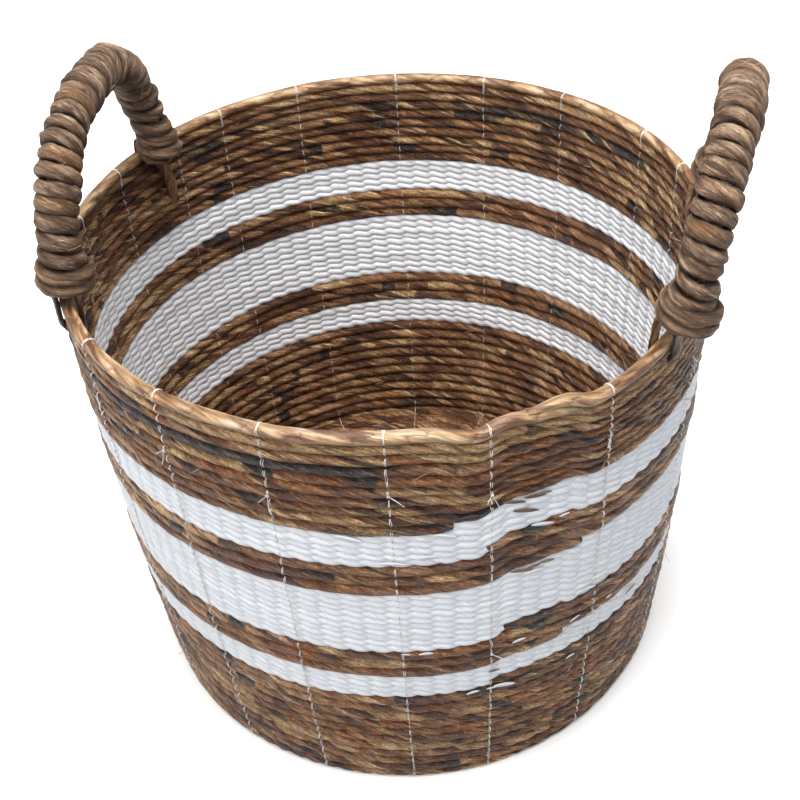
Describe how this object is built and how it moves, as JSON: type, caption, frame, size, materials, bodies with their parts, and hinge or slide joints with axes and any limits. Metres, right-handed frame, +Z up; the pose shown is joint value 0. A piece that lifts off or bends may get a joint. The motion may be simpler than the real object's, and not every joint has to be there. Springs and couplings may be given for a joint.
{
  "type": "woven market basket",
  "caption": "Round open basket of coiled plant-fibre rope: brown and white striped wall, flat coiled base and arched rope-wrapped handles standing on the rim.",
  "frame": {"origin": "centre of the basket's circular base, on the underside that stands on the floor", "axes": "+Z up through the open mouth; the handles stand near +X (right) and -X (left); -Y is the front"},
  "size_m": [0.4307, 0.4122, 0.443],
  "materials": {
    "dark_rope": "satin",
    "tan_rope": "satin",
    "white_rope": "satin",
    "handle_wrap": "matte",
    "handle_core": "matte",
    "thread": "gloss"
  },
  "bodies": {
    "root": {"base_coil": "dark_rope", "lower_wall_rope": "dark_rope", "lower_white_rope": "white_rope", "lower_brown_rope": "dark_rope", "middle_white_rope": "white_rope", "upper_brown_rope": "dark_rope", "upper_white_rope": "white_rope", "top_wall_rope": "dark_rope", "collar_rope": "tan_rope", "rim_rope": "tan_rope", "left_handle_core": "handle_core", "left_handle_wrap": "handle_wrap", "left_front_binding": "handle_wrap", "left_front_inner_cord": "handle_wrap", "left_front_outer_cord": "dark_rope", "left_rear_binding": "handle_wrap", "left_rear_inner_cord": "handle_wrap", "left_rear_outer_cord": "dark_rope", "right_handle_core": "handle_core", "right_handle_wrap": "handle_wrap", "right_front_binding": "handle_wrap", "right_front_inner_cord": "handle_wrap", "right_front_outer_cord": "dark_rope", "right_rear_binding": "handle_wrap", "right_rear_inner_cord": "handle_wrap", "right_rear_outer_cord": "dark_rope", "stitch_thread_01": "thread", "stitch_thread_02": "thread", "stitch_thread_03": "thread", "stitch_thread_04": "thread", "stitch_thread_05": "thread", "stitch_thread_06": "thread", "stitch_thread_07": "thread", "stitch_thread_08": "thread", "stitch_thread_09": "thread", "stitch_thread_10": "thread", "stitch_thread_11": "thread", "stitch_thread_12": "thread", "stitch_thread_13": "thread", "stitch_thread_14": "thread", "stitch_thread_15": "thread", "stitch_thread_16": "thread", "stitch_thread_17": "thread", "stitch_thread_18": "thread", "stitch_thread_19": "thread"}
  },
  "joints": []
}
